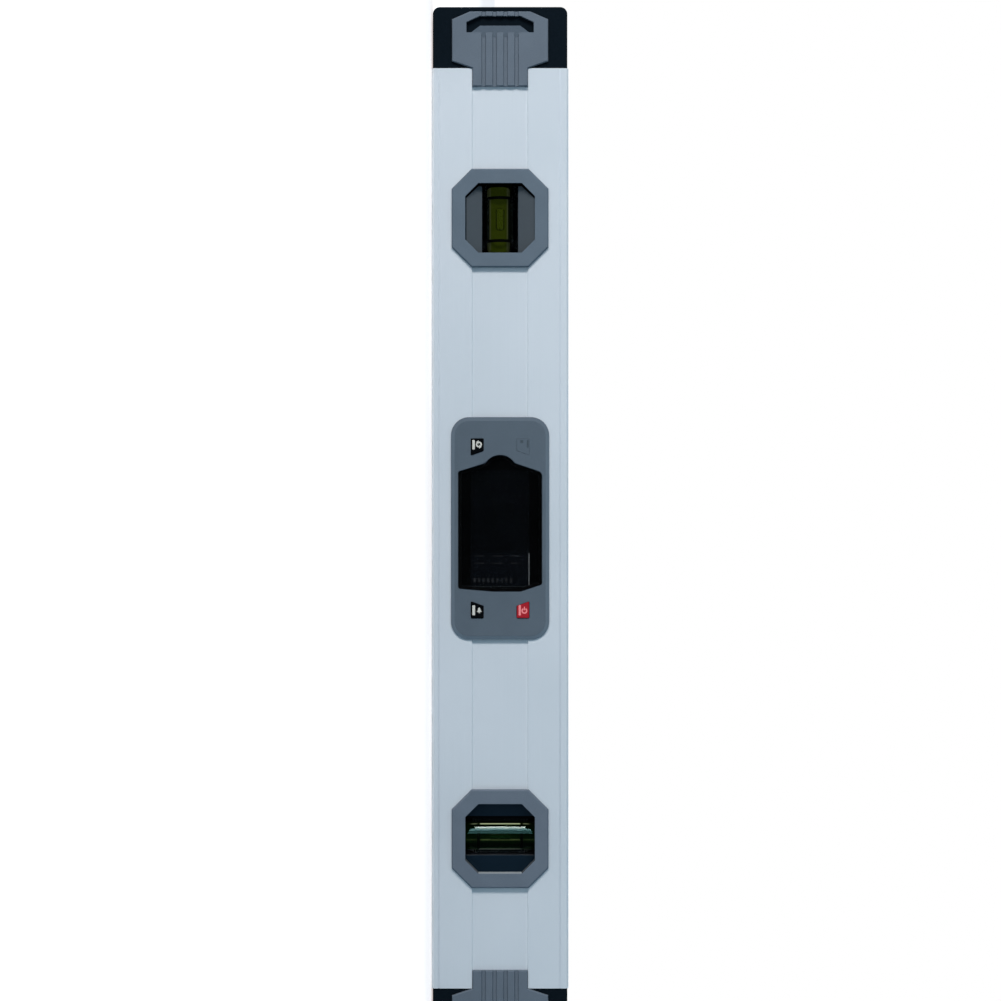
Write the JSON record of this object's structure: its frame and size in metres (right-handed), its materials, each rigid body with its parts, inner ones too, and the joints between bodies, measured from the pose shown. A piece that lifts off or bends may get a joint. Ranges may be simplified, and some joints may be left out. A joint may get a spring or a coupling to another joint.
{
  "type": "digital spirit level",
  "caption": "Hand-held digital spirit level: aluminium box profile with black end caps, a level vial, a plumb vial, a display with press keys and a sliding battery door.",
  "frame": {"origin": "middle of the measuring base", "axes": "+X along the level towards the plumb vial, -Y out of the display, +Z from the measuring base to the top face"},
  "size_m": [0.4, 0.0274, 0.0524],
  "materials": {
    "anodised_aluminium": "pale blue-grey anodised, drawn lengthwise",
    "black_plastic": "fine satin",
    "grey_plastic": "satin, blue-grey",
    "clear_acrylic": "clear, polished",
    "black_marks": "matte",
    "green_liquid": "clear yellow-green",
    "air_bubble": "clear",
    "black_lens": "polished",
    "black_rubber": "matte",
    "display_glass": "polished",
    "board_green": "satin",
    "steel": "plated",
    "black_key": "satin",
    "red_key": "satin",
    "cell_can": "plain sleeve"
  },
  "bodies": {
    "level": {"box_profile": "anodised_aluminium", "end_cap_left": "black_plastic", "end_cap_right": "black_plastic", "end_plate_left_front": "grey_plastic", "end_plate_left_back": "grey_plastic", "end_plate_right_front": "grey_plastic", "end_plate_right_back": "grey_plastic", "level_vial_frame": "grey_plastic", "level_vial_cover": "grey_plastic", "level_vial_tube": "clear_acrylic", "level_vial_plug": "clear_acrylic", "level_vial_rings": "black_marks", "level_vial_liquid": "green_liquid", "plumb_vial_frame": "grey_plastic", "plumb_vial_cover": "grey_plastic", "plumb_vial_tube": "clear_acrylic", "plumb_vial_plug": "clear_acrylic", "plumb_vial_rings": "black_marks", "plumb_vial_liquid": "green_liquid", "display_bezel": "grey_plastic", "display_lens": "black_lens", "lens_gasket": "black_rubber", "lcd_frame": "black_plastic", "lcd_glass": "display_glass", "light_guide": "clear_acrylic", "connector_strip": "black_rubber", "circuit_board": "board_green", "board_screws": "steel", "tilt_sensor": "black_marks", "controller_chip": "black_marks", "buzzer": "black_marks", "key_switches": "black_marks", "back_housing": "grey_plastic", "housing_screws": "steel", "battery_cell_1": "cell_can", "battery_cell_2": "cell_can", "battery_link": "steel", "battery_contacts": "steel", "battery_springs": "steel"},
    "mode_button": {"mode_key": "black_key", "mode_plunger": "black_marks"},
    "unit_button": {"unit_key": "grey_plastic", "unit_plunger": "black_marks"},
    "alarm_button": {"alarm_key": "black_key", "alarm_plunger": "black_marks"},
    "power_button": {"power_key": "red_key", "power_plunger": "black_marks"},
    "door": {"battery_door": "grey_plastic"},
    "level_bubble": {"level_vial_bubble": "air_bubble"},
    "plumb_bubble": {"plumb_vial_bubble": "air_bubble"}
  },
  "joints": [
    {"name": "mode_press", "type": "slide", "parent": "level", "child": "mode_button", "axis": [0, 1, 0], "range_m": [0, 0.0005], "stiffness_N_per_m": 3200},
    {"name": "unit_press", "type": "slide", "parent": "level", "child": "unit_button", "axis": [0, 1, 0], "range_m": [0, 0.0005], "stiffness_N_per_m": 3200},
    {"name": "alarm_press", "type": "slide", "parent": "level", "child": "alarm_button", "axis": [0, 1, 0], "range_m": [0, 0.0005], "stiffness_N_per_m": 3200},
    {"name": "power_press", "type": "slide", "parent": "level", "child": "power_button", "axis": [0, 1, 0], "range_m": [0, 0.0005], "stiffness_N_per_m": 3200},
    {"name": "battery_door_slide", "type": "slide", "parent": "level", "child": "door", "axis": [1, 0, 0], "range_m": [0, 0.055]},
    {"name": "level_bubble_run", "type": "slide", "parent": "level", "child": "level_bubble", "axis": [1, 0, 0], "range_m": [-0.0065, 0.0065], "stiffness_N_per_m": 20},
    {"name": "plumb_bubble_run", "type": "slide", "parent": "level", "child": "plumb_bubble", "axis": [0, 0, 1], "range_m": [-0.0065, 0.0065], "stiffness_N_per_m": 20}
  ]
}
